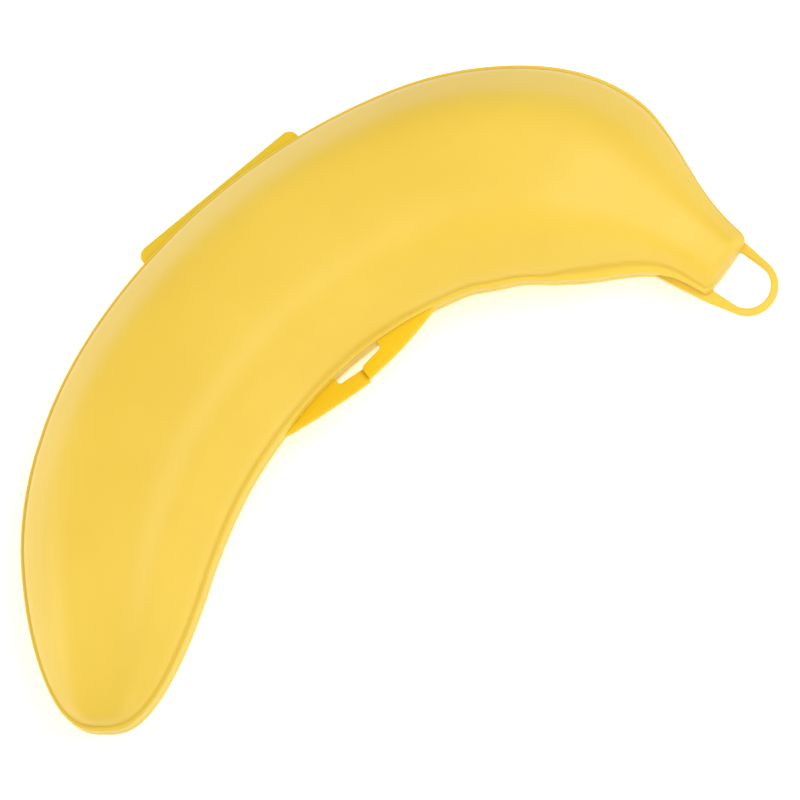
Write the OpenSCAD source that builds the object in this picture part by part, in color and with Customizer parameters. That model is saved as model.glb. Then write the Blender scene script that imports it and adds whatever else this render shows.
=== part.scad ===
// Banana carrying case: a yellow moulded clamshell that follows the curve of a banana.
// Two thin domes meet at a flat rim, fold on a straight living hinge on the outer curve,
// close with a pair of slotted finger tabs on the inner curve and hang from a loop at the stem.
// X runs along the hinge, Y points to the hinge side, Z is up and the belly rests on Z = 0.

/* [Spine] */
// Heading of the spine where it leaves the blunt tip, in degrees from the hinge line
tip_heading = 49.5; // [47:0.5:52]
// Length of the nearly straight stretch behind the tip
tip_run = 47; // [41:1:53]
// Turn of the stretch behind the tip, in degrees
tip_angle = 4.5; // [2.5:0.5:6.5]
// Length of the bend before the middle
bend_run = 50; // [44:1:56]
// Turn of the bend before the middle, in degrees
bend_angle = 26.5; // [23:0.5:30]
// Length of the flatter middle, between the hinge and the latch
middle_run = 93; // [84:1:102]
// Turn of the middle, in degrees
middle_angle = 37; // [33:0.5:41]
// Length of the tight bend over the shoulder
shoulder_run = 52; // [46:1:58]
// Turn of the shoulder, in degrees
shoulder_angle = 47; // [42:0.5:51]
// Length of the neck and stem
stem_run = 40; // [35:1:45]
// Turn of the neck and stem, in degrees
stem_angle = 9.5; // [6:0.5:13]

/* [Width] */
// Half width over the rims that the taper starts from, before the tip is rounded
tip_half_w = 20.8; // [18.8:0.2:22.8]
// Half width over the rims along the body
body_half_w = 31.2; // [29.2:0.2:33.2]
// Half width over the rims that the neck narrows to
stem_half_w = 8.6; // [7.6:0.2:9.6]
// Distance from the tip at which the full width is reached
taper_run = 109; // [99:1:119]
// Length of the rounding at the tip
tip_round = 77; // [69:1:85]
// Bluntness of the rounding at the tip, where 2 is an ellipse
tip_bluntness = 2.8; // [2.4:0.1:3.2]
// Length over which the neck narrows
neck_run = 72; // [65:1:79]
// Share of that length that lies before the stem's cut
neck_share = 0.89; // [0.84:0.01:0.94]
// Height of the soft wave in the inner curve before the neck
wave_h = 1; // [0:0.1:1.6]
// Distance of the wave's middle from the stem's cut
wave_back = 56; // [50:1:62]
// Length of the wave
wave_run = 77; // [68:1:86]
// Width by which the inner curve flares out again at the stem
flare_w = 1.5; // [0.8:0.1:1.8]
// Length of that flare
flare_run = 16; // [12:1:20]

/* [Shells] */
// Height of the crown above the parting plane
crown_h = 24.5; // [21:0.5:28]
// Depth of the belly below the parting plane, down to its flat
belly_h = 24.5; // [21:0.5:28]
// Depth that the flat takes off the round of the belly
belly_flat = 0.8; // [0.4:0.1:1.4]
// Wall thickness of both shells
wall = 1.6; // [1.2:0.1:2.2]
// Thickness of the end wall at the stem
stem_wall = 2.4; // [2:0.1:3.2]
// Length over which the shells round off at the stem's end
stem_round = 2.2; // [1.6:0.1:2.8]
// Strength of the soft ridges along the shells, as a share of the section's radius
ridge_share = 0.028; // [0:0.002:0.04]

/* [Rims] */
// Height of the upper rim
upper_rim_h = 4; // [3.4:0.1:5]
// Height of the lower rim
lower_rim_h = 2.6; // [2:0.1:3.4]
// Width of the ledge between the rim's edge and the shell
ledge = 1.3; // [0.9:0.1:1.8]
// Gap between the two rims at the parting plane
parting_gap = 0.2; // [0.1:0.05:0.4]
// Height of the locating lip above the lower rim
lip_h = 2.6; // [1.6:0.1:3]
// Thickness of the locating lip
lip_t = 1; // [0.7:0.1:1.2]
// Clearance around the locating lip and the catch
fit_gap = 0.3; // [0.25:0.05:0.5]

/* [Hinge] */
// Length of the living hinge
hinge_l = 56; // [44:1:64]
// Distance of the hinge centre from the top of the outer curve
hinge_shift = -0.5; // [-4:0.5:4]
// Thickness of each hinge leaf
leaf_t = 1.2; // [1:0.1:1.4]
// Least width of a hinge leaf, at the top of the outer curve
leaf_w = 1.3; // [0.6:0.1:2]
// Radius of the bend of the closed hinge web, to its middle
web_r = 0.8; // [0.75:0.05:1]
// Thickness of the hinge web
web_t = 0.4; // [0.3:0.05:0.5]
// Radius of the rounded corners of the hinge leaves
leaf_corner_r = 2; // [1:0.25:3]

/* [Latch] */
// Distance of the latch centre from the section at the top of the outer curve
latch_shift = 0; // [-4:0.5:4]
// Reach of the tabs beyond the rim, at their middle
tab_reach = 6.6; // [6.2:0.2:8]
// Radius of each tab's outer edge
tab_edge_r = 160; // [140:5:190]
// Lean of each tab's outer edge at the middle, in degrees
tab_lean_angle = 2.5; // [1.5:0.5:3.5]
// Thickness of each tab
tab_t = 2.4; // [2:0.1:2.6]
// Length of the slot between the fingers and the rim
slot_l = 15.4; // [13:0.2:18]
// Width of the slot between the fingers and the rim
slot_w = 3; // [2.6:0.1:3.4]
// Overlap of the two finger ends
finger_overlap = 2.8; // [2.4:0.1:3.4]
// Distance of the overlap's middle from the latch centre, towards the stem
overlap_shift = 1.2; // [0:0.1:2]
// Gap across the flexing line at each finger's root
flex_gap = 0.3; // [0.25:0.05:0.4]
// Diameter of the catch nub on the lower finger
nub_d = 1.4; // [1.2:0.1:1.6]
// Height of the catch nub
nub_h = 0.9; // [0.6:0.1:1.2]

/* [Loop] */
// Distance of the loop's far round from the stem's end
loop_reach = 7.7; // [6.5:0.1:11]
// Outer radius of the loop's far round
loop_r = 8; // [7.5:0.1:9]
// Width of the loop's bar around its far round
loop_bar = 2.1; // [1.8:0.1:3]
// Sideways lean of the loop, to the inner curve
loop_lean = 1.5; // [0.8:0.1:2.2]
// Half width of the loop's hole at the stem
hole_half_w = 6.6; // [6:0.1:7]
// Radius of the hole's two corners at the stem
hole_corner_r = 1; // [0.6:0.1:1.6]
// Depth by which the hole reaches in to the stem's cut, which ends it
hole_sink = 0.6; // [0.2:0.1:1]
// Length over which the loop's inner leg runs out along the rim
leg_run = 17; // [14:0.5:20]
// Distance of the loop's outer leg from the stem's corner
leg_inset = 1.1; // [0.6:0.1:1.6]
// Distance by which the loop's inner leg stands off the stem's corner
leg_knee = 0.8; // [0.5:0.1:1.2]

/* [Hidden] */
// Stations around the tip, along the body and at the stem's end, and steps around half a section
tip_steps = 20;
body_steps = 38;
stem_steps = 4;
section_steps = 20;
$fn = 64;
// Colours of the satin yellow moulding
shell_colour = "#f6d053";
rim_colour = "#f8d75f";
tab_colour = "#f5c81e";

// Spine, a chain of tangent arcs given as [length, turn]
spine_arcs = [
    [tip_run, tip_angle],
    [bend_run, bend_angle],
    [middle_run, middle_angle],
    [shoulder_run, shoulder_angle],
    [stem_run, stem_angle]
];
spine_l = tip_run + bend_run + middle_run + shoulder_run + stem_run;

// Pose [x, y, heading] after going a distance s along an arc that turns right
function advance(pose, arc, s) =
    let (turn = arc[1] * s / arc[0])
    let (r = arc[0] / (arc[1] * PI / 180))
    let (end = pose[2] - turn)
    [pose[0] + r * (sin(pose[2]) - sin(end)), pose[1] + r * (cos(end) - cos(pose[2])), end];

// Pose at distance u from the tip, walking the arcs in turn
function spine_pose(u, i = 0, pose = [0, 0, tip_heading]) =
    i == len(spine_arcs) - 1 || u <= spine_arcs[i][0]
        ? advance(pose, spine_arcs[i], u)
        : spine_pose(u - spine_arcs[i][0], i + 1, advance(pose, spine_arcs[i], spine_arcs[i][0]));

// Point at distance u along the spine and v to its left, the side of the outer curve
function spine_point(u, v) =
    let (p = spine_pose(u))
    [p[0] - v * sin(p[2]), p[1] + v * cos(p[2])];

// Half width over the rims: a taper from the tip, then the body, then the neck
neck_start = spine_l - neck_share * neck_run;
function taper(x) = x >= 1 ? 1 : x * (2 - x);
function ease(x) = x <= 0 ? 0 : x * x / (x * x + (1 - x) * (1 - x));
function rim_half_w(u) =
    let (body = tip_half_w + (body_half_w - tip_half_w) * taper(u / taper_run))
    let (neck = ease((u - neck_start) / neck_run))
    body * (1 - neck) + stem_half_w * neck;

// Half width at distance u, for an outline drawn in by an inset, with the tip rounded
function half_w(u, inset) =
    let (x = min(1, (u - inset) / (tip_round - inset)))
    (rim_half_w(u) - inset) * pow(1 - pow(1 - x, tip_bluntness), 1 / tip_bluntness);

// Half width on the side of the inner curve, with the wave before the neck and the flare at the stem
function wave(x) = sin(540 * x) * sin(180 * x);
function soft_step(x) = x * x * (3 - 2 * x);
function inner_half_w(u, inset) =
    let (x = min(1, max(0, 0.5 + (u - spine_l + wave_back) / wave_run)))
    let (y = max(0, 1 + (u - spine_l) / flare_run))
    half_w(u, inset) + wave_h * wave(x) + flare_w * soft_step(y);

// Share of the shells' height that is left at distance u, where they round off at the stem's end
stem_end_share = 0.25;
function stem_drop(u) =
    let (x = max(0, 1 + (u - spine_l) / stem_round))
    sqrt(1 - (1 - stem_end_share * stem_end_share) * x * x);

// Stations along an outline with that inset, ending a distance short of the stem's cut
function stations(inset, short) = concat(
    [for (i = [1 : tip_steps])
        inset + (tip_round - inset) * (1 - pow(cos(90 * i / tip_steps), 2 / tip_bluntness))],
    [for (i = [1 : body_steps])
        tip_round + (spine_l - short - stem_round - tip_round) * i / body_steps],
    [for (i = [1 : stem_steps])
        spine_l - short - stem_round * (1 - sin(90 * i / stem_steps))]
);

// Closed outline in plan, drawn in by an inset all round
function outline(inset) =
    let (s = stations(inset, inset))
    concat(
        [spine_point(inset, 0)],
        [for (u = s) spine_point(u, half_w(u, inset))],
        [for (i = [len(s) - 1 : -1 : 0]) spine_point(s[i], -inner_half_w(s[i], inset))]
    );

// Hinge: the spine runs along X where it has turned by the tip's heading
hinge_u = tip_run + bend_run + middle_run * (tip_heading - tip_angle - bend_angle) / middle_angle;
hinge_top = spine_point(hinge_u, half_w(hinge_u, 0));
hinge_x = hinge_top[0] + hinge_shift;
leaf_edge_y = hinge_top[1] + leaf_w;
hinge_axis_y = leaf_edge_y + web_r * PI / 2;
leaf_low = web_r - leaf_t / 2;
web_l = hinge_l - 2 * leaf_corner_r;

// Latch: its centre lies on the inner curve, across from the hinge
latch_u = hinge_u + latch_shift;
latch_root = spine_point(latch_u, -inner_half_w(latch_u, 0));
latch_x = latch_root[0];
latch_tip_y = latch_root[1] - tab_reach;
finger_y = latch_root[1] - slot_w;
finger_mid_y = (finger_y + latch_tip_y) / 2;
overlap_x = latch_x + overlap_shift;
tab_span = 2 * tab_edge_r;

// Loop: it stands out from the stem's cut
stem_pose = spine_pose(spine_l);
stem_cut_half = half_w(spine_l, 0);
stem_inner_half = inner_half_w(spine_l, 0);
function beyond_stem(s, v) = spine_point(spine_l, v) + s * [cos(stem_pose[2]), sin(stem_pose[2])];
loop_centre = beyond_stem(loop_reach, -loop_lean);
leg_u = spine_l - leg_run;
leg_end_r = loop_bar / 4;

// Heights, measured from the belly's flat
parting_z = belly_h;
upper_z = parting_z + parting_gap / 2;
lower_z = parting_z - parting_gap / 2;
crown_base = parting_z + upper_rim_h;
belly_base = parting_z - lower_rim_h;
dome_half_w = body_half_w - ledge;
crown_slope = (crown_h - upper_rim_h) / dome_half_w;
belly_slope = (belly_h + belly_flat - lower_rim_h) / dome_half_w;

// Rim insets, from the outer edge inwards
shell_inset = ledge;
inner_inset = ledge + wall;
lip_inset = inner_inset - lip_t;
rebate_inset = lip_inset - fit_gap;
rebate_h = lip_h + fit_gap;

// Centre of the part's box in plan
edge = outline(0);
edge_x = [for (p = edge) p[0]];
edge_y = [for (p = edge) p[1]];
web_edge_y = leaf_edge_y + web_r + web_t / 2;
centre = [
    (min(edge_x) + max(max(edge_x), loop_centre[0] + loop_r)) / 2,
    (min(min(edge_y), loop_centre[1] - loop_r) + max(max(edge_y), web_edge_y)) / 2
];

// Radius of the soft six-sided section at angle t, against a plain ellipse
function ridged(t) = (1 + ridge_share * cos(6 * t)) / (1 + ridge_share);

// Ring of points around half a section, from the outer curve over the dome to the inner curve
function dome_ring(u, inset, height, flat, base, way) = [
    for (j = [0 : section_steps])
        let (t = 180 * j / section_steps)
        let (side_w = t < 90 ? half_w(u, inset) : inner_half_w(u, inset))
        let (p = spine_point(u, side_w * cos(t) * ridged(t)))
        [p[0], p[1], base + way * min(flat, height * sin(t) * ridged(t) / ridged(90))]
];

// Two triangles on the four points a, b, c and d, taken in turn
function quad(a, b, c, d) = [[a, b, c], [a, c, d]];
function flat_list(lists) = [for (l = lists) for (x = l) x];

// Thin dome between an outer and an inner surface, open at its flat base
module dome(slope, flat, base, way) {
    outer_u = stations(shell_inset, 0);
    inner_u = stations(inner_inset, stem_wall);
    n = len(outer_u);
    m = section_steps + 1;
    outer = [for (u = outer_u)
        dome_ring(u, shell_inset, slope * half_w(u, shell_inset) * stem_drop(u), flat, base, way)];
    inner = [for (u = inner_u)
        dome_ring(u, inner_inset, max(wall / 4, slope * (half_w(u, inner_inset) + wall) - wall),
            flat - wall, base, way)];
    points = concat(flat_list(outer), flat_list(inner));
    start = n * m;
    outer_faces = flat_list([for (k = [0 : n - 2], j = [0 : m - 2])
        quad(k * m + j, k * m + j + 1, (k + 1) * m + j + 1, (k + 1) * m + j)]);
    inner_faces = flat_list([for (k = [0 : n - 2], j = [0 : m - 2])
        quad(start + k * m + j, start + (k + 1) * m + j,
            start + (k + 1) * m + j + 1, start + k * m + j + 1)]);
    end_faces = [for (j = [1 : m - 2]) each [
        [0, j + 1, j],
        [(n - 1) * m, (n - 1) * m + j, (n - 1) * m + j + 1],
        [start, start + j, start + j + 1],
        [start + (n - 1) * m, start + (n - 1) * m + j + 1, start + (n - 1) * m + j]
    ]];
    base_faces = flat_list([for (k = [0 : n - 2]) concat(
        quad(k * m, (k + 1) * m, start + (k + 1) * m, start + k * m),
        quad(start + k * m + m - 1, start + (k + 1) * m + m - 1,
            (k + 1) * m + m - 1, k * m + m - 1)
    )]);
    close_faces = concat(
        quad(0, start, start + m - 1, m - 1),
        quad((n - 1) * m, n * m - 1, start + n * m - 1, start + (n - 1) * m)
    );
    faces = concat(outer_faces, inner_faces, end_faces, base_faces, close_faces);
    polyhedron(points, way > 0 ? faces : [for (f = faces) [f[2], f[1], f[0]]], convexity = 6);
}

// Puts a shape drawn from the tip of the spine into the part's frame
module in_frame() {
    translate([-centre[0], -centre[1], 0]) children();
}

// Flat ring between two insets of the outline
module rim_ring(z, h, outer_inset, inner_inset) {
    translate([0, 0, z])
        linear_extrude(h)
            difference() {
                polygon(outline(outer_inset));
                polygon(outline(inner_inset));
            }
}

// Hinge leaf in plan: a straight strip with rounded corners, cut back to the rim
module leaf_plan() {
    depth = body_half_w;
    difference() {
        translate([hinge_x, leaf_edge_y]) {
            translate([-web_l / 2, -depth])
                square([web_l, depth]);
            translate([-hinge_l / 2, -depth])
                square([hinge_l, depth - leaf_corner_r]);
            for (way = [-1, 1])
                translate([way * web_l / 2, -leaf_corner_r])
                    circle(r = leaf_corner_r);
        }
        polygon(outline(0));
    }
}

// Web of the closed hinge: half a tube that runs from one leaf round to the other
module web_bend() {
    translate([hinge_x - web_l / 2, leaf_edge_y, parting_z])
        rotate([90, 0, 90])
            linear_extrude(web_l)
                intersection() {
                    difference() {
                        circle(r = web_r + web_t / 2);
                        circle(r = web_r - web_t / 2);
                    }
                    translate([0, -2 * web_r])
                        square([2 * web_r, 4 * web_r]);
                }
}

// Latch tab in plan: between the rim and a large arc, where way is -1 for the left and 1 for the right
module tab_plan(way) {
    lean = way * tab_lean_angle;
    difference() {
        intersection() {
            translate([latch_x - tab_edge_r * sin(lean), latch_tip_y + tab_edge_r * cos(lean)])
                circle(r = tab_edge_r, $fn = 240);
            translate([latch_x - tab_span / 2, latch_tip_y])
                square([tab_span, tab_reach + slot_w]);
        }
        polygon(outline(0));
        translate([latch_x - slot_l / 2, finger_y])
            square([slot_l, tab_reach]);
    }
}

// The plan's side beyond the flexing line, where way is -1 for the left and 1 for the right
module beyond_flex_line(way) {
    translate([latch_x + way * (slot_l / 2 + flex_gap / 2 + tab_span / 2), latch_tip_y])
        square([tab_span, 2 * (tab_reach + slot_w)], center = true);
}

// Finger in plan: from the flexing line to its rounded end past the middle
module finger_plan(way) {
    root_x = latch_x + way * (slot_l / 2 - flex_gap / 2);
    end_x = overlap_x - way * finger_overlap / 2;
    finger_w = finger_y - latch_tip_y;
    intersection() {
        tab_plan(way);
        union() {
            translate([min(root_x, end_x + way * finger_w / 2), latch_tip_y])
                square([abs(root_x - end_x) - finger_w / 2, finger_w]);
            translate([end_x + way * finger_w / 2, latch_tip_y + finger_w / 2])
                circle(d = finger_w);
        }
    }
}

// Loop in plan, filled: from the stem's corner and the rim of the inner curve to the far round
module loop_plan() {
    hull() {
        translate(loop_centre)
            circle(r = loop_r, $fn = 48);
        translate(beyond_stem(0, stem_cut_half - leg_inset - leg_end_r))
            circle(r = leg_end_r, $fn = 24);
        translate(beyond_stem(0, leg_end_r - leg_knee - stem_inner_half))
            circle(r = leg_end_r, $fn = 24);
        translate(spine_point(leg_u, leg_end_r - inner_half_w(leg_u, 0)))
            circle(r = leg_end_r, $fn = 24);
    }
}

// Hole of the loop in plan: a D with its flat side along the stem's cut
module loop_hole_plan() {
    hull() {
        translate(loop_centre)
            circle(r = loop_r - loop_bar, $fn = 48);
        for (way = [-1, 1])
            translate(beyond_stem(hole_corner_r - hole_sink,
                    way * (hole_half_w - hole_corner_r) - loop_lean))
                circle(r = hole_corner_r, $fn = 24);
    }
}

// Sub-parts
module upper_shell() {
    color(shell_colour)
        in_frame()
            dome(crown_slope, crown_h, crown_base, 1);
}

module upper_rim() {
    color(rim_colour)
        in_frame() {
            rim_ring(upper_z, rebate_h, 0, rebate_inset);
            rim_ring(upper_z + rebate_h, crown_base - upper_z - rebate_h, 0, inner_inset);
        }
}

module upper_hinge_leaf() {
    color(rim_colour)
        in_frame()
            translate([0, 0, parting_z + leaf_low])
                linear_extrude(leaf_t)
                    leaf_plan();
}

module upper_latch_root() {
    color(tab_colour)
        in_frame()
            translate([0, 0, upper_z])
                linear_extrude(tab_t)
                    intersection() {
                        tab_plan(1);
                        beyond_flex_line(1);
                    }
}

module upper_latch_finger() {
    color(tab_colour)
        in_frame()
            difference() {
                translate([0, 0, upper_z])
                    linear_extrude(tab_t)
                        finger_plan(1);
                translate([overlap_x, finger_mid_y, upper_z - nub_h])
                    cylinder(d = nub_d + 2 * fit_gap, h = 2 * nub_h + fit_gap);
            }
}

module lower_shell() {
    color(shell_colour)
        in_frame()
            dome(belly_slope, belly_h - lower_rim_h, belly_base, -1);
}

module lower_rim() {
    color(rim_colour)
        in_frame()
            rim_ring(belly_base, lower_z - belly_base, 0, inner_inset);
}

module locating_lip() {
    color(rim_colour)
        in_frame()
            rim_ring(lower_z, lip_h, lip_inset, inner_inset);
}

module lower_hinge_leaf() {
    color(rim_colour)
        in_frame()
            translate([0, 0, parting_z - leaf_low - leaf_t])
                linear_extrude(leaf_t)
                    leaf_plan();
}

module lower_latch_root() {
    color(tab_colour)
        in_frame()
            translate([0, 0, lower_z - tab_t])
                linear_extrude(tab_t)
                    intersection() {
                        tab_plan(-1);
                        beyond_flex_line(-1);
                    }
}

module lower_latch_finger() {
    color(tab_colour)
        in_frame()
            translate([0, 0, lower_z - tab_t])
                linear_extrude(tab_t)
                    finger_plan(-1);
}

module catch_nub() {
    color(tab_colour)
        in_frame()
            translate([overlap_x, finger_mid_y, lower_z])
                cylinder(d = nub_d, h = nub_h);
}

module hanging_loop() {
    color(rim_colour)
        in_frame()
            translate([0, 0, belly_base])
                linear_extrude(lower_z - belly_base)
                    difference() {
                        loop_plan();
                        loop_hole_plan();
                        polygon(outline(0));
                    }
}

module hinge_web() {
    color(rim_colour)
        in_frame()
            web_bend();
}

upper_shell();
upper_rim();
upper_hinge_leaf();
upper_latch_root();
upper_latch_finger();
lower_shell();
lower_rim();
locating_lip();
lower_hinge_leaf();
lower_latch_root();
lower_latch_finger();
catch_nub();
hanging_loop();
hinge_web();
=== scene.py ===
import math

import bmesh
import bpy
from mathutils import Matrix, Vector


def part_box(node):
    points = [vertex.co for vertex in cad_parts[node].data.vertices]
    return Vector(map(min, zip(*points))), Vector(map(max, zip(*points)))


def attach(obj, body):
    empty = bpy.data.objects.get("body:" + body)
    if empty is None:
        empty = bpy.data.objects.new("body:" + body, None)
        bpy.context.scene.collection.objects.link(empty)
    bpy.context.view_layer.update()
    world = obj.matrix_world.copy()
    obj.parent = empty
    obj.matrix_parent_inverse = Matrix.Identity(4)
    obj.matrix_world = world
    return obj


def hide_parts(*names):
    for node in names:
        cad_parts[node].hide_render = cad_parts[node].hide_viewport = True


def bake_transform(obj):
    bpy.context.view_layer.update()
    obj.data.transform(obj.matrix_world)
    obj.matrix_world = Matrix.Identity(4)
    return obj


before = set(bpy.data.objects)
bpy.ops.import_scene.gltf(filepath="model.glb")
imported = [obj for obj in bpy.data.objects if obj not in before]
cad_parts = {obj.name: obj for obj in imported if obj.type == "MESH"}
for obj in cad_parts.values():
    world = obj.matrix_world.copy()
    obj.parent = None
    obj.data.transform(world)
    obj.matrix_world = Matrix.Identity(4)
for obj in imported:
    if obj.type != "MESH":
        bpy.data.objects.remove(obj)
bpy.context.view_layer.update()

# Shapes are drawn in millimetres and kept in metres
MM = 0.001

# Spine of the case, a chain of arcs given as length and turn in degrees
TIP_HEADING = 49.5
TIP_ARC = (47, 4.5)
BEND_ARC = (50, 26.5)
MIDDLE_ARC = (93, 37)
SHOULDER_ARC = (52, 47)
STEM_ARC = (40, 9.5)
SPINE_ARCS = (TIP_ARC, BEND_ARC, MIDDLE_ARC, SHOULDER_ARC, STEM_ARC)
SPINE_L = sum(run for run, turn in SPINE_ARCS)

# Half widths over the rims, and where they change
TIP_HALF_W = 20.8
BODY_HALF_W = 31.2
STEM_HALF_W = 8.6
TAPER_RUN = 109
TIP_ROUND = 77
TIP_BLUNTNESS = 2.8
NECK_RUN = 72
NECK_SHARE = 0.89
NECK_START = SPINE_L - NECK_SHARE * NECK_RUN
# Soft wave of the inner curve before the neck
WAVE_H = 1
WAVE_BACK = 56
WAVE_RUN = 77
# Flare of the inner curve at the stem
FLARE_W = 1.5
FLARE_RUN = 16

# Shells and rims
CROWN_H = 24.5
BELLY_H = 24.5
BELLY_FLAT = 0.8
BELLY_FLAT_BLEND = 0.4
WALL = 1.6
STEM_WALL = 2.4
RIDGE = 0.028
UPPER_RIM_H = 4
LOWER_RIM_H = 2.6
LEDGE = 1.3
PARTING_GAP = 0.2
LIP_H = 2.6
LIP_T = 1
FIT_GAP = 0.3

# Heights above the table
PARTING_Z = BELLY_H
UPPER_Z = PARTING_Z + PARTING_GAP / 2
LOWER_Z = PARTING_Z - PARTING_GAP / 2
CROWN_BASE = PARTING_Z + UPPER_RIM_H
BELLY_BASE = PARTING_Z - LOWER_RIM_H
CROWN_SLOPE = (CROWN_H - UPPER_RIM_H) / (BODY_HALF_W - LEDGE)
BELLY_SLOPE = (BELLY_H + BELLY_FLAT - LOWER_RIM_H) / (BODY_HALF_W - LEDGE)

# Rim insets, from the outer edge inwards
INNER_INSET = LEDGE + WALL
LIP_INSET = INNER_INSET - LIP_T
REBATE_INSET = LIP_INSET - FIT_GAP
REBATE_TOP = UPPER_Z + LIP_H + FIT_GAP

# Hinge
HINGE_L = 56
HINGE_SHIFT = -0.5
LEAF_T = 1.2
LEAF_W = 1.3
LEAF_CORNER_R = 2
LEAF_EDGE_R = 0.35
WEB_R = 0.8
WEB_T = 0.4
WEB_END_R = LEAF_CORNER_R + WEB_R + WEB_T / 2
WEB_SHORT = 0.05
WEB_SHY = 0.01

# Latch
TAB_REACH = 6.6
TAB_EDGE_R = 160
TAB_LEAN = 2.5
TAB_T = 2.4
TAB_ROUND = 0.4
TAB_SWELL = 0.4
TAB_SKEW = 0.03
TAB_SKEW_FROM = 12
TAB_EMBED = 1.3
TAB_TIP_DEPTH = 0.15
TOE_END = 262
SLOT_L = 15.4
SLOT_W = 3
SLOT_CORNER_R = 1
FINGER_OVERLAP = 2.8
OVERLAP_SHIFT = 1.2
FINGER_SLOPE = 0.12
FINGER_LIFT = 0.4
UPPER_END_R = 1.6
UPPER_TOE_R = 0.9
LOWER_END_R = 1.3
LOWER_TOE_R = 0.45
TONGUE_X = 0.3
TONGUE_STEP = 0.75
TONGUE_CORNER_R = 0.5
TONGUE_NOOK_R = 0.2
NUB_D = 1.4
NUB_H = 0.9
NUB_HEAD_R = 0.35
NUB_ROOT = 0.2
FLEX_RUN = 3

# Loop
LOOP_REACH = 7.1
LOOP_R = 8.5
LOOP_BAR = 2.1
LOOP_LEAN = 1.65
LOOP_EDGE_R = 0.7
LOOP_EMBED = 2
HOLE_HALF_W = 6.6
HOLE_CORNER_R = 1
HOLE_SINK = 0.6
LEG_RUN = 17
LEG_END_R = LOOP_BAR / 4
LEG_END_TURN = 60
LEG_INSET = 1.1
LEG_KNEE = 1.5
FULL_TURN = 360

# Roundings of the moulding that the eye picks up
FILLET_SHARE = 0.4
LEDGE_FILLET_R = 0.5
NECK_FILLET_R = 1.1
STEM_ROUND = 2.2
STEM_LEDGE = 0.05
STEM_SHRINK = 1.5
STEM_END_SHARE = 0.1
BASE_SETBACK = 0.9
STEM_OUTER_CORNER_R = 2.8
STEM_INNER_CORNER_R = 1.4
RIM_TOP_R = 0.4
RIM_PARTING_R = 0.25
RIM_INNER_R = 0.15
LIP_TOP_R = 0.3
LIP_FOOT_R = 0.01
LEAST_CORNER_R = 0.2
# Depths by which pieces of one body are let into each other, and by which rims stay inside their solids
EMBED = 0.4
SEAT = 0.02
RIM_SHY = 0.03

# On the inner curve the shells draw in further along the neck, and run out again at the stem
NECK_DRAW = 1.9
NECK_DRAW_FROM = 228
NECK_DRAW_FULL = 250
NECK_DRAW_EASE = 255
NECK_DRAW_TO = 280
# On the outer curve they run out to the rim's edge towards the stem
NECK_SPREAD = 0.75
NECK_SPREAD_FROM = 232
NECK_SPREAD_FULL = 262

# Fineness of the meshes
TIP_STEPS = 44
BODY_STEPS = 132
SOLID_TIP_STEPS = 20
SOLID_BODY_STEPS = 38
END_STEPS = 8
FILLET_STEPS = 5
ARCH_STEPS = 60
CORNER_STEPS = 6
RING_COLUMNS = 2 * FILLET_STEPS + 2 * (ARCH_STEPS // 2) + 1
LEAF_STEPS = 60
LEAF_CORNER_STEPS = 8
WEB_STEPS_AROUND = 24
WEB_STEPS_ALONG = 96
TAB_STEPS = 40
TAB_END_STEPS = 8
TAB_NOOK_STEPS = 6
FLEX_STEPS = 8
NUB_STEPS = 28
NUB_HEAD_STEPS = 6
NUB_HOLE_STEPS = 32
LOOP_STEPS = 60
LEG_STEPS = 24
LEG_END_STEPS = 6
KNEE_STEPS = 4
NOOK_STEPS = 8
PLATE_EDGE_STEPS = 3
SHARP_ANGLE = math.radians(40)
# Reach and steps of the searches along the rim
LEAF_OVERRUN = 6
TAB_TIP_STEP = 0.1
RIM_SEARCH = 60
RIM_SEARCH_STEPS = 40
# Distances below which points are joined, and the least height and fillet of a section
JOIN_DISTANCE = 0.002
SLIVER = 0.0005
LEAST_HEIGHT = 0.001
LEAST_FILLET_R = 0.0001


def spine_pose(u):
    """Place and heading at distance u from the tip."""
    x, y, heading = 0, 0, math.radians(TIP_HEADING)
    left = u
    for index, (run, turn) in enumerate(SPINE_ARCS):
        step = left if index == len(SPINE_ARCS) - 1 else min(left, run)
        radius = run / math.radians(turn)
        end = heading - step / radius
        x += radius * (math.sin(heading) - math.sin(end))
        y += radius * (math.cos(end) - math.cos(heading))
        heading = end
        left -= step
        if left <= 0:
            break
    return x, y, heading


def local_point(u, v):
    """Plan point at distance u along the spine and v towards the outer curve, from the tip."""
    x, y, heading = spine_pose(u)
    return x - v * math.sin(heading), y + v * math.cos(heading)


def rim_half_w(u):
    """Half width over the rims, before the tip is rounded."""
    taper = min(1, u / TAPER_RUN)
    body = TIP_HALF_W + (BODY_HALF_W - TIP_HALF_W) * taper * (2 - taper)
    x = max(0, (u - NECK_START) / NECK_RUN)
    neck = x * x / (x * x + (1 - x) ** 2)
    return body * (1 - neck) + STEM_HALF_W * neck


def smooth(x):
    """Soft step from 0 to 1."""
    x = min(1, max(0, x))
    return x * x * (3 - 2 * x)


def half_w(u, inset):
    """Half width of an outline drawn in by an inset, with the tip rounded."""
    x = min(1, max(0, (u - inset) / (TIP_ROUND - inset)))
    return (rim_half_w(u) - inset) * (1 - (1 - x) ** TIP_BLUNTNESS) ** (1 / TIP_BLUNTNESS)


def inner_half_w(u, inset):
    """Half width on the side of the inner curve, with the wave before the neck."""
    x = min(1, max(0, 0.5 + (u - SPINE_L + WAVE_BACK) / WAVE_RUN))
    wave = WAVE_H * math.sin(3 * math.pi * x) * math.sin(math.pi * x)
    return half_w(u, inset) + wave + FLARE_W * smooth(1 + (u - SPINE_L) / FLARE_RUN)


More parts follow.
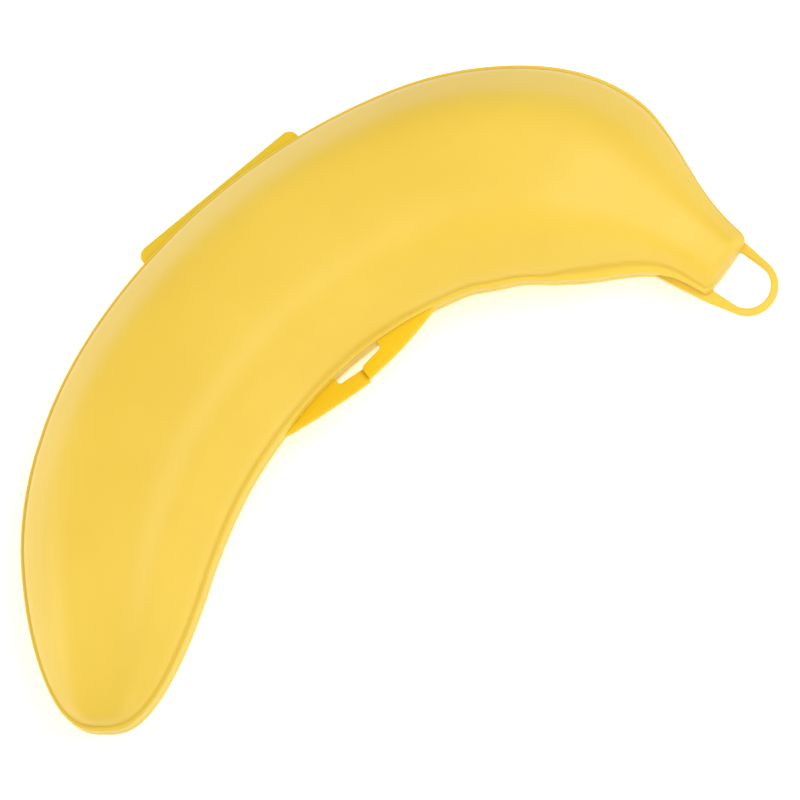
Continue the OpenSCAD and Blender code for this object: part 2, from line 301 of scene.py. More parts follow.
def station(step, inset, stop, tip_steps=TIP_STEPS, body_steps=BODY_STEPS):
    """Distance along the spine of a numbered step, close together at the tip."""
    if step <= tip_steps:
        across = max(0, math.cos(math.pi / 2 * step / tip_steps))
        return inset + (TIP_ROUND - inset) * (1 - across ** (2 / TIP_BLUNTNESS))
    return TIP_ROUND + (stop - TIP_ROUND) * (step - tip_steps) / body_steps


def neck_draw_share(u):
    """How far the neck's draw on the inner curve is in force at distance u."""
    rise = smooth((u - NECK_DRAW_FROM) / (NECK_DRAW_FULL - NECK_DRAW_FROM))
    fall = smooth((NECK_DRAW_TO - u) / (NECK_DRAW_TO - NECK_DRAW_EASE))
    return rise * fall


# The tip of the spine in the frame, found from the lower rim's box
solid_edge = []
for k in range(SOLID_TIP_STEPS + SOLID_BODY_STEPS + 1):
    u = station(k, 0, SPINE_L, SOLID_TIP_STEPS, SOLID_BODY_STEPS)
    solid_edge += [local_point(u, half_w(u, 0)), local_point(u, -inner_half_w(u, 0))]
rim_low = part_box("lower_rim")[0]
TIP_AT = (
    rim_low.x / MM - min(p[0] for p in solid_edge),
    rim_low.y / MM - min(p[1] for p in solid_edge),
)


def plan_point(u, v):
    """Plan point in the frame, in millimetres."""
    x, y = local_point(u, v)
    return x + TIP_AT[0], y + TIP_AT[1]


def beyond_stem(s, v):
    """Plan point at distance s past the stem's cut and v to the side of the outer curve."""
    x, y = plan_point(SPINE_L, v)
    heading = spine_pose(SPINE_L)[2]
    return x + s * math.cos(heading), y + s * math.sin(heading)


# Places of the hinge and the latch, where the spine runs along X
HINGE_U = TIP_ARC[0] + BEND_ARC[0]
HINGE_U += MIDDLE_ARC[0] * (TIP_HEADING - TIP_ARC[1] - BEND_ARC[1]) / MIDDLE_ARC[1]
HINGE_TOP = plan_point(HINGE_U, half_w(HINGE_U, 0))
HINGE_X = HINGE_TOP[0] + HINGE_SHIFT
LEAF_EDGE_Y = HINGE_TOP[1] + LEAF_W
LATCH_X, LATCH_ROOT_Y = plan_point(HINGE_U, -inner_half_w(HINGE_U, 0))
OVERLAP_X = LATCH_X + OVERLAP_SHIFT
LATCH_TIP_Y = LATCH_ROOT_Y - TAB_REACH
FINGER_Y = LATCH_ROOT_Y - SLOT_W
FINGER_MID_Y = (FINGER_Y + LATCH_TIP_Y) / 2


def finish_mesh(mesh):
    """Joins double points, turns the faces outwards and shades all but the sharp edges smooth."""
    work = bmesh.new()
    work.from_mesh(mesh)
    bmesh.ops.remove_doubles(work, verts=work.verts, dist=JOIN_DISTANCE * MM)
    bmesh.ops.dissolve_degenerate(work, edges=work.edges, dist=SLIVER * MM)
    bmesh.ops.recalc_face_normals(work, faces=work.faces)
    work.to_mesh(mesh)
    work.free()
    mesh.shade_smooth()
    mesh.set_sharp_from_angle(angle=SHARP_ANGLE)


def add_object(name, mesh, material):
    """Puts a mesh in the scene with its material."""
    piece = bpy.data.objects.new(name, mesh)
    bpy.context.scene.collection.objects.link(piece)
    mesh.materials.clear()
    mesh.materials.append(material)
    return piece


def mesh_piece(name, points, faces, material):
    """Piece from points in millimetres and faces."""
    mesh = bpy.data.meshes.new(name)
    mesh.from_pydata([(x * MM, y * MM, z * MM) for x, y, z in points], [], faces)
    finish_mesh(mesh)
    return add_object(name, mesh, material)


def ridged(t):
    """Radius of the soft six-sided section at angle t, against a plain ellipse."""
    return (1 + RIDGE * math.cos(6 * t)) / (1 + RIDGE)


def soft_min(a, b, blend):
    """The lower of two heights, with a soft change from one to the other."""
    share = min(1, max(0, 0.5 + (b - a) / (2 * blend)))
    return b + (a - b) * share - blend * share * (1 - share)


def arch_angle(rise, height):
    """Angle at which the section of that height has reached a rise."""
    return math.asin(min(1, rise * ridged(math.pi / 2) / max(height, LEAST_HEIGHT)))


def outer_ring(step, slope, flat, setback):
    """Section of a shell's outer surface at a step, as the plan place and the rise of each point."""
    last = TIP_STEPS + BODY_STEPS
    stop = SPINE_L - setback - STEM_LEDGE - STEM_ROUND
    turn = math.pi / 2 * max(0, step - last) / END_STEPS
    shrink = STEM_SHRINK * (1 - math.cos(turn))
    past = STEM_ROUND * math.sin(turn)
    u = station(min(step, last), LEDGE, stop) + past
    width = max(0, half_w(u, LEDGE) - shrink)
    height = slope * half_w(u, LEDGE) * max(STEM_END_SHARE, math.cos(turn))
    points = []
    for side in (1, -1):
        wanted = LEDGE_FILLET_R
        if side < 0:
            wanted += (NECK_FILLET_R - LEDGE_FILLET_R) * neck_draw_share(u)
        radius = max(LEAST_FILLET_R, min(wanted, FILLET_SHARE * height))
        foot = arch_angle(radius, height)
        ring = []
        for i in range(FILLET_STEPS):
            a = math.pi / 2 * i / FILLET_STEPS
            rise = radius * (1 - math.cos(a))
            ring.append((arch_angle(rise, height), radius * (1 - math.sin(a)), rise))
        for i in range(ARCH_STEPS // 2 + 1):
            t = foot + (math.pi / 2 - foot) * i / (ARCH_STEPS // 2)
            rise = height * math.sin(t) * ridged(t) / ridged(math.pi / 2)
            ring.append((t, 0, soft_min(rise, flat, BELLY_FLAT_BLEND)))
        side_points = []
        for t, flare, rise in ring:
            inset = LEDGE - flare
            at = station(min(step, last), inset, stop) + past
            if side > 0:
                spread = smooth((at - NECK_SPREAD_FROM) / (NECK_SPREAD_FULL - NECK_SPREAD_FROM))
                across = half_w(at, inset) + NECK_SPREAD * spread
            else:
                across = inner_half_w(at, inset) - NECK_DRAW * neck_draw_share(at)
            x, y = plan_point(at, side * max(0, across - shrink) * math.cos(t) * ridged(t))
            side_points.append((x, y, rise))
        points.append(side_points)
    outer, inner = points
    return outer + inner[-2::-1] if width > 0 else [outer[0]] * RING_COLUMNS


def inner_ring(step, slope, flat):
    """Section of a shell's inner surface at a step."""
    last = TIP_STEPS + BODY_STEPS
    stop = SPINE_L - STEM_WALL
    u = station(min(step, last), INNER_INSET, stop)
    width = half_w(u, INNER_INSET)
    height = max(WALL / 4, slope * (width + WALL) - WALL) * min(1, width / WALL)
    far_width = inner_half_w(u, INNER_INSET) - NECK_DRAW * neck_draw_share(u)
    ring = []
    for i in range(RING_COLUMNS):
        t = math.pi * i / (RING_COLUMNS - 1)
        across = width if t < math.pi / 2 else far_width
        x, y = plan_point(u, across * math.cos(t) * ridged(t))
        rise = height * math.sin(t) * ridged(t) / ridged(math.pi / 2)
        ring.append((x, y, soft_min(rise, flat - WALL, BELLY_FLAT_BLEND)))
    return ring


def shell_piece(name, slope, flat, base, way, setback, material):
    """Thin dome with a fillet at its foot, closed between its outer and inner surfaces."""
    steps = TIP_STEPS + BODY_STEPS + END_STEPS + 1
    outer = [outer_ring(k, slope, flat, setback) for k in range(steps)]
    inner = [inner_ring(k, slope, flat) for k in range(steps)]
    columns = RING_COLUMNS
    points = []
    for ring in outer + inner:
        points += [(x, y, base + way * rise) for x, y, rise in ring]
    start = steps * columns
    faces = []
    for k in range(steps - 1):
        for j in range(columns - 1):
            a, b = k * columns + j, (k + 1) * columns + j
            faces.append((a, a + 1, b + 1, b))
            faces.append((start + a, start + b, start + b + 1, start + a + 1))
        for j in (0, columns - 1):
            a, b = k * columns + j, (k + 1) * columns + j
            faces.append((a, b, start + b, start + a))
    end = (steps - 1) * columns
    faces.append([end + j for j in range(columns)])
    faces.append([start + end + j for j in reversed(range(columns))])
    faces.append((end, start + end, start + end + columns - 1, end + columns - 1))
    return mesh_piece(name, points, faces, material)


def edge_loop(inset, setback):
    """Closed outline in plan at an inset, set back from the stem's cut, with round corners."""
    stop = SPINE_L - setback - inset
    sides = []
    for side, width, radius in (
        (1, half_w, STEM_OUTER_CORNER_R),
        (-1, inner_half_w, STEM_INNER_CORNER_R),
    ):
        corner = max(LEAST_CORNER_R, radius - inset)
        points = []
        for step in range(TIP_STEPS + BODY_STEPS + 1):
            u = station(step, inset, stop - corner)
            points.append(plan_point(u, side * width(u, inset)))
        for i in range(1, CORNER_STEPS + 1):
            a = math.pi / 2 * i / CORNER_STEPS
            u = stop - corner * (1 - math.sin(a))
            points.append(plan_point(u, side * (width(u, inset) - corner * (1 - math.cos(a)))))
        sides.append(points)
    return sides[0] + sides[1][:0:-1]


def rounded_profile(corners):
    """Closed profile of inset and height, from corners given as inset, height and radius."""
    profile = []
    count = len(corners)
    for i, (x, z, radius) in enumerate(corners):
        before = Vector(corners[i - 1][:2])
        here = Vector((x, z))
        after = Vector(corners[(i + 1) % count][:2])
        to_before = (before - here).normalized()
        to_after = (after - here).normalized()
        for k in range(CORNER_STEPS + 1):
            a = math.pi / 2 * k / CORNER_STEPS
            shift = to_before * radius * (1 - math.sin(a)) + to_after * radius * (1 - math.cos(a))
            profile.append(tuple(here + shift))
    return profile


def rim_piece(name, corners, setback, material):
    """Band all round the case with that profile, set back from the stem's cut."""
    profile = rounded_profile(corners)
    loops = {}
    points = []
    for inset, z in profile:
        key = round(inset, 5)
        if key not in loops:
            loops[key] = edge_loop(inset, setback)
        points += [(x, y, z) for x, y in loops[key]]
    around = len(points) // len(profile)
    faces = []
    for i in range(len(profile)):
        a, b = i * around, ((i + 1) % len(profile)) * around
        for k in range(around):
            n = (k + 1) % around
            faces.append((a + k, a + n, b + n, b + k))
    return mesh_piece(name, points, faces, material)


def plate_mesh(name, loops, low, high, edge_r):
    """Flat plate with rounded edges between two heights, from closed loops in plan."""
    curve = bpy.data.curves.new(name, "CURVE")
    curve.dimensions = "2D"
    curve.fill_mode = "BOTH"
    curve.extrude = ((high - low) / 2 - edge_r) * MM
    curve.bevel_depth = edge_r * MM
    curve.bevel_resolution = PLATE_EDGE_STEPS
    curve.offset = -edge_r * MM
    for loop in loops:
        spline = curve.splines.new("POLY")
        spline.points.add(len(loop) - 1)
        for point, (x, y) in zip(spline.points, loop):
            point.co = (x * MM, y * MM, 0, 1)
        spline.use_cyclic_u = True
    drawn = bpy.data.objects.new(name, curve)
    bpy.context.scene.collection.objects.link(drawn)
    bpy.context.view_layer.update()
    graph = bpy.context.evaluated_depsgraph_get()
    mesh = bpy.data.meshes.new_from_object(drawn.evaluated_get(graph))
    bpy.data.objects.remove(drawn)
    mesh.transform(Matrix.Translation((0, 0, (low + high) / 2 * MM)))
    return mesh


def arc(centre, radius, start, end, steps):
    """Points on an arc between two angles in degrees."""
    angles = [math.radians(start + (end - start) * i / steps) for i in range(steps + 1)]
    return [(centre[0] + radius * math.cos(a), centre[1] + radius * math.sin(a)) for a in angles]


# Skin of the moulding: soft flow marks, fine grain, and light that goes a little way in
FLOW_SCALE = 22
FLOW_DETAIL = 3
FLOW_DEEP_AT = 0.35
FLOW_LIGHT_AT = 0.68
FLOW_BUMP = 0.15
FLOW_DEPTH = 0.6 * MM
GRAIN_SCALE = 2600
GRAIN_DETAIL = 2
GRAIN_BUMP = 0.12
GRAIN_DEPTH = 0.06 * MM
GRAIN_GLOSS = 0.05
GLOW_SHARE = 0.15
GLOW_COLOURS = (1, 0.65, 0.15)
GLOW_DEPTH = 3 * MM
SHEEN_ROUGHNESS = 0.35


def satin_plastic(name, deep, light, roughness, specular, sheen):
    """Moulded polypropylene: a satin skin with fine grain, soft flow marks and depth of colour."""
    material = bpy.data.materials.new(name)
    material.use_nodes = True
    nodes, links = material.node_tree.nodes, material.node_tree.links
    shader = nodes["Principled BSDF"]
    place = nodes.new("ShaderNodeTexCoord")

    flow = nodes.new("ShaderNodeTexNoise")
    flow.inputs["Scale"].default_value = FLOW_SCALE
    flow.inputs["Detail"].default_value = FLOW_DETAIL
    links.new(place.outputs["Object"], flow.inputs["Vector"])
    tone = nodes.new("ShaderNodeValToRGB")
    tone.color_ramp.elements[0].position = FLOW_DEEP_AT
    tone.color_ramp.elements[0].color = (*deep, 1)
    tone.color_ramp.elements[1].position = FLOW_LIGHT_AT
    tone.color_ramp.elements[1].color = (*light, 1)
    links.new(flow.outputs["Fac"], tone.inputs["Fac"])
    links.new(tone.outputs["Color"], shader.inputs["Base Color"])

    grain = nodes.new("ShaderNodeTexNoise")
    grain.inputs["Scale"].default_value = GRAIN_SCALE
    grain.inputs["Detail"].default_value = GRAIN_DETAIL
    links.new(place.outputs["Object"], grain.inputs["Vector"])
    gloss = nodes.new("ShaderNodeMapRange")
    gloss.inputs["To Min"].default_value = roughness - GRAIN_GLOSS
    gloss.inputs["To Max"].default_value = roughness + GRAIN_GLOSS
    links.new(grain.outputs["Fac"], gloss.inputs["Value"])
    links.new(gloss.outputs["Result"], shader.inputs["Roughness"])

    fine = nodes.new("ShaderNodeBump")
    fine.inputs["Strength"].default_value = GRAIN_BUMP
    fine.inputs["Distance"].default_value = GRAIN_DEPTH
    links.new(grain.outputs["Fac"], fine.inputs["Height"])
    sway = nodes.new("ShaderNodeBump")
    sway.inputs["Strength"].default_value = FLOW_BUMP
    sway.inputs["Distance"].default_value = FLOW_DEPTH
    links.new(flow.outputs["Fac"], sway.inputs["Height"])
    links.new(fine.outputs["Normal"], sway.inputs["Normal"])
    links.new(sway.outputs["Normal"], shader.inputs["Normal"])

    shader.inputs["Subsurface Weight"].default_value = GLOW_SHARE
    shader.inputs["Subsurface Radius"].default_value = GLOW_COLOURS
    shader.inputs["Subsurface Scale"].default_value = GLOW_DEPTH
    shader.inputs["Specular IOR Level"].default_value = specular
    shader.inputs["Sheen Weight"].default_value = sheen
    shader.inputs["Sheen Roughness"].default_value = SHEEN_ROUGHNESS
    return material


shell_yellow = satin_plastic("shell_yellow", deep=(0.805, 0.541, 0.052), light=(0.845, 0.577, 0.064),
                             roughness=0.48, specular=0.42, sheen=0.16)
rim_yellow = satin_plastic("rim_yellow", deep=(0.805, 0.55, 0.044), light=(0.835, 0.58, 0.055),
                           roughness=0.46, specular=0.42, sheen=0.05)
# The tabs and the catch nub take a copy of the shell's plastic painted lighter and more saturated:
# painted light and shade for the thin tabs lying in shade and bounced light below the rim
tab_yellow_painted_light = satin_plastic("tab_yellow_painted_light", deep=(0.84, 0.535, 0.003), light=(0.87, 0.565, 0.006),
                           roughness=0.44, specular=0.25, sheen=0.05)
# The hinge leaves and web take a copy of the shell's plastic painted darker and more saturated: painted
# shade for the hinge lying below the lid's rim
hinge_yellow_painted_shade = satin_plastic("hinge_yellow_painted_shade", deep=(0.80, 0.535, 0.016), light=(0.83, 0.565, 0.024),
                             roughness=0.46, specular=0.3, sheen=0.05)


# Lid: the upper shell and its rim with the rebate for the lip
upper_shell = shell_piece("lid_shell", CROWN_SLOPE, CROWN_H, CROWN_BASE - SEAT, 1, 0, shell_yellow)
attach(upper_shell, "lid")
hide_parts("upper_shell")

upper_rim = rim_piece("lid_rim", (
    (RIM_SHY, UPPER_Z, RIM_PARTING_R),
    (RIM_SHY, CROWN_BASE, RIM_TOP_R),
    (INNER_INSET, CROWN_BASE, RIM_INNER_R),
    (INNER_INSET, REBATE_TOP, RIM_INNER_R),
    (REBATE_INSET, REBATE_TOP, RIM_INNER_R),
    (REBATE_INSET, UPPER_Z, RIM_PARTING_R),
), 0, rim_yellow)
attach(upper_rim, "lid")
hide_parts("upper_rim")

# Base: the lower shell, its rim and the lip that the lid closes over
BELLY_DEPTH = BELLY_H - LOWER_RIM_H + SEAT
lower_shell = shell_piece("base_shell", BELLY_SLOPE, BELLY_DEPTH, BELLY_BASE + SEAT, -1,
                          BASE_SETBACK, shell_yellow)
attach(lower_shell, "base")
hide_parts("lower_shell")

lower_rim = rim_piece("base_rim", (
    (RIM_SHY, BELLY_BASE, RIM_TOP_R),
    (RIM_SHY, LOWER_Z, RIM_PARTING_R),
    (INNER_INSET, LOWER_Z, RIM_INNER_R),
    (INNER_INSET, BELLY_BASE, RIM_INNER_R),
), BASE_SETBACK, rim_yellow)
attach(lower_rim, "base")
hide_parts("lower_rim")

lip = rim_piece("base_lip", (
    (LIP_INSET, LOWER_Z - SEAT, LIP_FOOT_R),
    (LIP_INSET, LOWER_Z + LIP_H, LIP_TOP_R),
    (INNER_INSET, LOWER_Z + LIP_H, LIP_TOP_R),
    (INNER_INSET, LOWER_Z - SEAT, LIP_FOOT_R),
), 0, rim_yellow)
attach(lip, "base")
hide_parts("locating_lip")


# Hinge: two leaves let into the rims, and the thin web that curves round from one to the other
def leaf_outline():
    """Hinge leaf in plan, from the rim to its straight outer edge with rounded corners."""
    left, right = HINGE_X - HINGE_L / 2, HINGE_X + HINGE_L / 2
    low = LEAF_EDGE_Y - LEAF_CORNER_R
    loop = arc((right - LEAF_CORNER_R, low), LEAF_CORNER_R, 0, 90, LEAF_CORNER_STEPS)
    loop += arc((left + LEAF_CORNER_R, low), LEAF_CORNER_R, 90, 180, LEAF_CORNER_STEPS)
    reach = HINGE_L / 2 + LEAF_OVERRUN
    middle = HINGE_U + HINGE_SHIFT
    along = [middle + reach * (2 * i / LEAF_STEPS - 1) for i in range(LEAF_STEPS + 1)]
    rim = [plan_point(u, half_w(u, EMBED)) for u in along]
    inside = [p for p in rim if left < p[0] < right]
    return loop + [(left, inside[0][1])] + inside + [(right, inside[-1][1])]


LEAF_LOW = WEB_R - LEAF_T / 2
for name, node, body, low in (
    ("lid_hinge_leaf", "upper_hinge_leaf", "lid", PARTING_Z + LEAF_LOW),
    ("base_hinge_leaf", "lower_hinge_leaf", "base", PARTING_Z - LEAF_LOW - LEAF_T),
):
    leaf_mesh = plate_mesh(name, [leaf_outline()], low, low + LEAF_T, LEAF_EDGE_R)
    finish_mesh(leaf_mesh)
    leaf = add_object(name, leaf_mesh, hinge_yellow_painted_shade)
    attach(leaf, body)
    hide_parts(node)


def corner_drop(x, radius):
    """Depth of a rounded end corner of the hinge at a distance x from its middle."""
    past = max(0, abs(x) - HINGE_L / 2 + radius)
    return radius - math.sqrt(radius ** 2 - past ** 2)


def web_piece():
    """Half tube from one leaf round to the other, with round ends along the leaves' corners."""
    around = WEB_STEPS_AROUND
    along = WEB_STEPS_ALONG
    reach = HINGE_L / 2 - WEB_SHORT
    profile = [(math.pi * (i / around - 0.5), WEB_R + WEB_T / 2) for i in range(around + 1)]
    profile += [(math.pi * (0.5 - i / around), WEB_R - WEB_T / 2) for i in range(around + 1)]
    points = []
    for k in range(along + 1):
        x = -reach * math.cos(math.pi * k / along)
        leaf_drop = corner_drop(x, LEAF_CORNER_R)
        bulge = 1 - (corner_drop(x, WEB_END_R) - leaf_drop) / (WEB_R + WEB_T / 2)
        for a, radius in profile:
            y = LEAF_EDGE_Y - WEB_SHY - leaf_drop + radius * math.cos(a) * bulge
            points.append((HINGE_X + x, y, PARTING_Z + radius * math.sin(a)))
    count = len(profile)
    faces = []
    for k in range(along):
        for j in range(count):
            n = (j + 1) % count
            faces.append((k * count + j, k * count + n, (k + 1) * count + n, (k + 1) * count + j))
    for k in (0, along):
        for j in range(around):
            a = k * count + j
            b = k * count + count - 1 - j
            faces.append((a, a + 1, b - 1, b))
    return mesh_piece("hinge_bend", points, faces, hinge_yellow_painted_shade)


web = web_piece()
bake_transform(web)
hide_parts("hinge_web")


# Latch: a slotted tab on each half, with lines cut across it at the slot's end where its free finger
# would flex
def rim_y(x):
    """Height in plan of the rim's inner curve at a distance x from the latch's middle."""
    low, high = HINGE_U - RIM_SEARCH, HINGE_U + RIM_SEARCH
    for _ in range(RIM_SEARCH_STEPS):
        middle = (low + high) / 2
        if plan_point(middle, -inner_half_w(middle, 0))[0] < LATCH_X + x:
            low = middle
        else:
            high = middle
    return plan_point(low, -inner_half_w(low, 0))[1]


def tab_edge_y(x, way):
    """Height in plan of a tab's outer edge at a distance x from the latch's middle."""
    lean = math.radians(TAB_LEAN)
    centre_x = -TAB_EDGE_R * math.sin(lean)
    centre_y = LATCH_TIP_Y + TAB_EDGE_R * math.cos(lean)
    edge = max(LATCH_TIP_Y, centre_y - math.sqrt(TAB_EDGE_R ** 2 - (x - centre_x) ** 2))
    return edge - TAB_SWELL + way * TAB_SKEW * max(0, x - TAB_SKEW_FROM)


def finger_inner_y(x):
    """Height in plan of the finger's edge along the slot, which leans a little, at a distance x."""
    return FINGER_Y + FINGER_LIFT + FINGER_SLOPE * (max(0, x) - SLOT_L / 4)


def tab_outline(way):
    """Latch tab in plan, where way is 1 for the right one and -1 for the left one."""
    slot_x = SLOT_L / 2
    end_x = way * OVERLAP_SHIFT - FINGER_OVERLAP / 2
    end_r, toe_r = (UPPER_END_R, UPPER_TOE_R) if way > 0 else (LOWER_END_R, LOWER_TOE_R)
    tip_x = slot_x
    while tab_edge_y(tip_x, way) < rim_y(tip_x * way) + TAB_TIP_DEPTH:
        tip_x += TAB_TIP_STEP
    toe_x = toe_r + (end_x if way > 0 else TONGUE_X)
    edge_run = [toe_x + (tip_x - toe_x) * i / TAB_STEPS for i in range(TAB_STEPS + 1)]
    loop = [(x, tab_edge_y(x, way)) for x in edge_run]
    rim_run = [tip_x + (slot_x - tip_x) * i / TAB_STEPS for i in range(1, TAB_STEPS + 1)]
    loop += [(x, rim_y(x * way) + TAB_EMBED) for x in rim_run]
    round_x = slot_x - SLOT_CORNER_R
    slot_end = (round_x, finger_inner_y(round_x) + SLOT_CORNER_R)
    loop += arc(slot_end, SLOT_CORNER_R, 0, -90, TAB_NOOK_STEPS)
    heel_x = end_x + end_r
    loop += arc((heel_x, finger_inner_y(heel_x) - end_r), end_r, 90, 180, TAB_END_STEPS)
    if way < 0:
        tongue_y = tab_edge_y(toe_x, way) + TONGUE_STEP
        corner = (end_x + TONGUE_CORNER_R, tongue_y + TONGUE_CORNER_R)
        nook = (TONGUE_X - TONGUE_NOOK_R, tongue_y - TONGUE_NOOK_R)
        loop += arc(corner, TONGUE_CORNER_R, 180, 270, TAB_NOOK_STEPS)
        loop += arc(nook, TONGUE_NOOK_R, 90, 0, TAB_NOOK_STEPS)
    loop += arc((toe_x, tab_edge_y(toe_x, way) + toe_r), toe_r, 180, TOE_END, TAB_END_STEPS)
    loop = [(LATCH_X + way * x, y) for x, y in loop]
    return loop if way > 0 else loop[::-1]


def cut_across(mesh, places):
    """Adds lines of points across a mesh at several X places, so that it can bend there."""
    work = bmesh.new()
    work.from_mesh(mesh)
    for x in places:
        everything = work.verts[:] + work.edges[:] + work.faces[:]
        bmesh.ops.bisect_plane(work, geom=everything, plane_co=(x * MM, 0, 0), plane_no=(1, 0, 0))
    work.to_mesh(mesh)
    work.free()


def sink_hole(piece, x, y, radius, low, high):
    """Cuts a round blind hole into a piece."""
    cutter_mesh = bpy.data.meshes.new("cutter")
    work = bmesh.new()
    bmesh.ops.create_cone(work, cap_ends=True, segments=NUB_HOLE_STEPS,
                          radius1=radius * MM, radius2=radius * MM, depth=(high - low) * MM,
                          matrix=Matrix.Translation((x * MM, y * MM, (low + high) / 2 * MM)))
    work.to_mesh(cutter_mesh)
    work.free()
    cutter = bpy.data.objects.new("cutter", cutter_mesh)
    bpy.context.scene.collection.objects.link(cutter)
    change = piece.modifiers.new("hole", "BOOLEAN")
    change.operation = "DIFFERENCE"
    change.object = cutter
    bpy.context.view_layer.update()
    graph = bpy.context.evaluated_depsgraph_get()
    made = bpy.data.meshes.new_from_object(piece.evaluated_get(graph))
    piece.modifiers.clear()
    piece.data = made
    bpy.data.objects.remove(cutter)


for name, way, low, body, finger_body, nodes in (
    ("lid_tab", 1, UPPER_Z, "lid", "upper_finger",
     ("upper_latch_root", "upper_latch_finger")),
    ("base_tab", -1, LOWER_Z - TAB_T, "base", "lower_finger",
     ("lower_latch_root", "lower_latch_finger")),
):
    tab_mesh = plate_mesh(name, [tab_outline(way)], low, low + TAB_T, TAB_ROUND)
    finish_mesh(tab_mesh)
    tab = add_object(name, tab_mesh, tab_yellow_painted_light)
    if way > 0:
        sink_hole(tab, OVERLAP_X, FINGER_MID_Y, NUB_D / 2 + FIT_GAP,
                  low - NUB_H, low + NUB_H + FIT_GAP)
    flex_x = LATCH_X + way * SLOT_L / 2
    cut_across(tab.data, [flex_x + FLEX_RUN * (i / FLEX_STEPS - 0.5) for i in range(FLEX_STEPS + 1)])
    finish_mesh(tab.data)
    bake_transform(tab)
    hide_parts(*nodes)


def nub_piece():
    """Small catch nub with a rounded head."""
    radius, around = NUB_D / 2, NUB_STEPS
    profile = [(radius, -NUB_ROOT), (radius, NUB_H - NUB_HEAD_R)]
    for i in range(1, NUB_HEAD_STEPS + 1):
        a = math.radians(90 / NUB_HEAD_STEPS * i)
        rise = NUB_H - NUB_HEAD_R + NUB_HEAD_R * math.sin(a)
        profile.append((radius - NUB_HEAD_R * (1 - math.cos(a)), rise))
    points = []
    for r, z in profile:
        for k in range(around):
            a = 2 * math.pi * k / around
            points.append((OVERLAP_X + r * math.cos(a), FINGER_MID_Y + r * math.sin(a), LOWER_Z + z))
    faces = []
    for i in range(len(profile) - 1):
        low, high = i * around, (i + 1) * around
        for k in range(around):
            n = (k + 1) % around
            faces.append((low + k, low + n, high + n, high + k))
    faces.append(tuple(range(around)))
    faces.append(tuple(range((len(profile) - 1) * around, len(profile) * around)))
    return mesh_piece("catch_head", points, faces, tab_yellow_painted_light)


nub = nub_piece()
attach(nub, "lower_finger")
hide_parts("catch_nub")


# Loop: a flat D at the stem, whose inner leg runs out along the rim
def tangent_angle(a, a_r, b, b_r, side):
    """Angle in degrees at which a line that touches two circles on one side meets them."""
    base = math.atan2(b[1] - a[1], b[0] - a[0])
    return math.degrees(base + side * math.acos((a_r - b_r) / math.dist(a, b)))


def loop_outline():
    """Outline of the loop in plan, a U whose two ends are let into the stem and the rim."""
    far = beyond_stem(LOOP_REACH, -LOOP_LEAN)
    hole_r = LOOP_R - LOOP_BAR
    stem_half = half_w(SPINE_L, 0)
    corner = beyond_stem(0, stem_half - LEG_INSET - LEG_END_R)
    knee = beyond_stem(0, LEG_END_R - LEG_KNEE - inner_half_w(SPINE_L, 0))
    leg_u = SPINE_L - LEG_RUN
    leg = plan_point(leg_u, LEG_END_R - inner_half_w(leg_u, 0))

    left = tangent_angle(corner, LEG_END_R, far, LOOP_R, 1)
    right = tangent_angle(knee, LEG_END_R, far, LOOP_R, -1)
    along_rim = tangent_angle(leg, LEG_END_R, knee, LEG_END_R, -1)
    loop = [beyond_stem(-LOOP_EMBED, stem_half - LEG_INSET)]
    loop.append(beyond_stem(0, stem_half - LEG_INSET))
    loop += arc(far, LOOP_R, left, right - (FULL_TURN if right > left else 0), LOOP_STEPS)
    loop += arc(knee, LEG_END_R, right, along_rim, KNEE_STEPS)
    loop += arc(leg, LEG_END_R, along_rim, along_rim - LEG_END_TURN, LEG_END_STEPS)
    rim_run = [leg_u + (LEG_RUN - LOOP_EMBED) * i / LEG_STEPS for i in range(LEG_STEPS + 1)]
    loop += [plan_point(u, LOOP_EMBED - inner_half_w(u, 0)) for u in rim_run]

    nook_s = HOLE_CORNER_R - HOLE_SINK
    nook_v = HOLE_HALF_W - HOLE_CORNER_R
    nooks = [beyond_stem(nook_s, side * nook_v - LOOP_LEAN) for side in (-1, 1)]
    square = math.degrees(spine_pose(SPINE_L)[2]) + 180
    right = tangent_angle(nooks[0], HOLE_CORNER_R, far, hole_r, -1)
    left = tangent_angle(nooks[1], HOLE_CORNER_R, far, hole_r, 1)
    loop.append(beyond_stem(-LOOP_EMBED, -nook_v - LOOP_LEAN))
    loop += arc(nooks[0], HOLE_CORNER_R, square, square + 90, NOOK_STEPS)
    loop += arc(far, hole_r, right, left + (FULL_TURN if left < right else 0), LOOP_STEPS)
    loop += arc(nooks[1], HOLE_CORNER_R, square - 90, square, NOOK_STEPS)
    loop.append(beyond_stem(-LOOP_EMBED, nook_v - LOOP_LEAN))
    return loop


loop_mesh = plate_mesh("stem_loop", [loop_outline()], BELLY_BASE, LOWER_Z, LOOP_EDGE_R)
finish_mesh(loop_mesh)
loop = add_object("stem_loop", loop_mesh, rim_yellow)
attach(loop, "base")
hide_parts("hanging_loop")


# Floor, light and camera
FLOOR_HALF = 3
FLOOR_TONE_SCALE = 3
FLOOR_DEEP = (0.95, 0.965, 0.985, 1)
FLOOR_LIGHT = (0.96, 0.975, 0.995, 1)
FLOOR_ROUGHNESS = 0.9
FLOOR_GLOW = 0.32
WHITE = (1, 1, 1, 1)
WORLD_LIGHT = 0.54


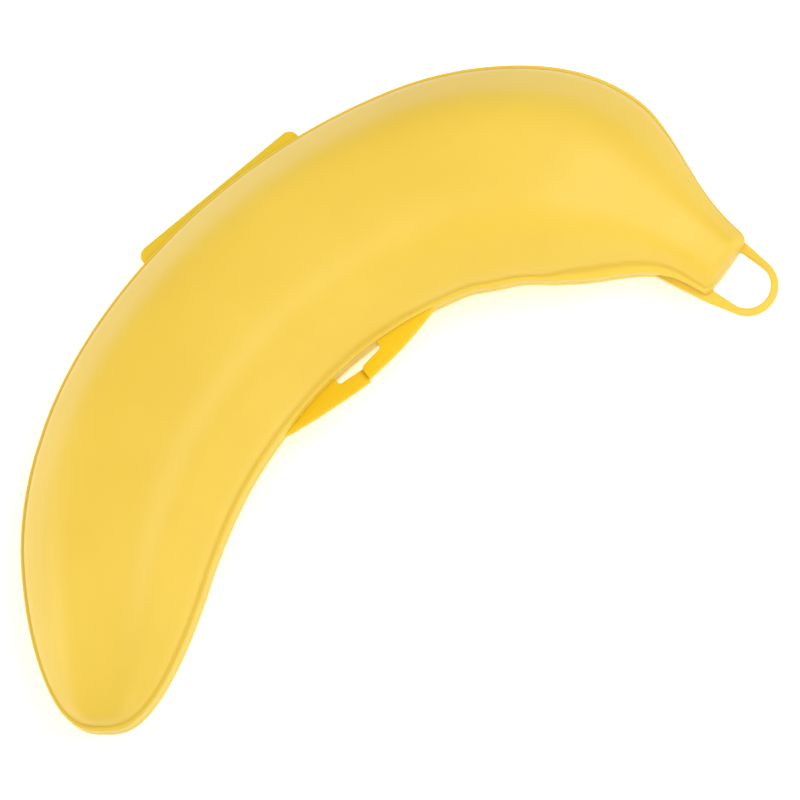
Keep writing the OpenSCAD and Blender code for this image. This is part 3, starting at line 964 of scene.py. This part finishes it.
def floor_material():
    """Pale matt sheet with a faint tone, lit a little from below as a light table is."""
    material = bpy.data.materials.new("floor_paper")
    material.use_nodes = True
    nodes, links = material.node_tree.nodes, material.node_tree.links
    shader = nodes["Principled BSDF"]
    noise = nodes.new("ShaderNodeTexNoise")
    noise.inputs["Scale"].default_value = FLOOR_TONE_SCALE
    tone = nodes.new("ShaderNodeValToRGB")
    tone.color_ramp.elements[0].color = FLOOR_DEEP
    tone.color_ramp.elements[1].color = FLOOR_LIGHT
    links.new(noise.outputs["Fac"], tone.inputs["Fac"])
    links.new(tone.outputs["Color"], shader.inputs["Base Color"])
    shader.inputs["Roughness"].default_value = FLOOR_ROUGHNESS
    shader.inputs["Emission Color"].default_value = WHITE
    shader.inputs["Emission Strength"].default_value = FLOOR_GLOW
    return material


floor_corners = [(x * FLOOR_HALF, y * FLOOR_HALF, 0) for x, y in ((-1, -1), (1, -1), (1, 1), (-1, 1))]
floor_mesh = bpy.data.meshes.new("floor")
floor_mesh.from_pydata(floor_corners, [], [(0, 1, 2, 3)])
floor = add_object("floor", floor_mesh, floor_material())

# The photo looks down on the inner curve, turned so that the hinge line rises to the right
TIP_TO_TARGET = (122.25, 20)
TARGET = Vector((
    (TIP_AT[0] + TIP_TO_TARGET[0]) * MM,
    (TIP_AT[1] + TIP_TO_TARGET[1]) * MM,
    PARTING_Z * MM,
))
ELEVATION = math.radians(74)
ROLL = math.radians(39.5)
VIEW_WIDTH = 0.2224
LENS = 500
SENSOR = 36
CLIP_NEAR = 0.01
CLIP_FAR = 20
back = Vector((0, -math.cos(ELEVATION), math.sin(ELEVATION)))
level_up = Vector((0, math.sin(ELEVATION), math.cos(ELEVATION)))
along_x = Vector((1, 0, 0))
right = along_x * math.cos(ROLL) - level_up * math.sin(ROLL)
up = along_x * math.sin(ROLL) + level_up * math.cos(ROLL)


def facing(place, towards_right, towards_up, towards_back):
    """Matrix of an object at a place, with those axes."""
    turn = Matrix((towards_right, towards_up, towards_back)).transposed().to_4x4()
    return Matrix.Translation(place) @ turn


camera_data = bpy.data.cameras.new("camera")
camera_data.lens = LENS
camera_data.sensor_width = SENSOR
camera_data.clip_start = CLIP_NEAR
camera_data.clip_end = CLIP_FAR
camera = bpy.data.objects.new("camera", camera_data)
bpy.context.scene.collection.objects.link(camera)
camera.matrix_world = facing(TARGET + back * (VIEW_WIDTH * LENS / SENSOR), right, up, back)
bpy.context.scene.camera = camera


def softbox(name, place, size, power):
    """Square soft light at a place given as right, up and towards the camera, aimed at the case."""
    light = bpy.data.lights.new(name, "AREA")
    light.shape = "SQUARE"
    light.size = size
    light.energy = power
    lamp = bpy.data.objects.new(name, light)
    bpy.context.scene.collection.objects.link(lamp)
    at = TARGET + right * place[0] + up * place[1] + back * place[2]
    lamp.location = at
    lamp.rotation_euler = (TARGET - at).to_track_quat("-Z", "Y").to_euler()
    return lamp


softbox("light_right", place=(0.6, -0.5, 0.5), size=0.5, power=0.5)
softbox("light_left", place=(-0.8, -0.1, 0.2), size=0.5, power=2.4)
softbox("light_top", place=(0.15, 0.12, 0.6), size=0.4, power=2.35)

world = bpy.data.worlds.new("studio")
world.use_nodes = True
world.node_tree.nodes["Background"].inputs["Color"].default_value = WHITE
world.node_tree.nodes["Background"].inputs["Strength"].default_value = WORLD_LIGHT
bpy.context.scene.world = world
bpy.context.scene.view_settings.view_transform = "Standard"
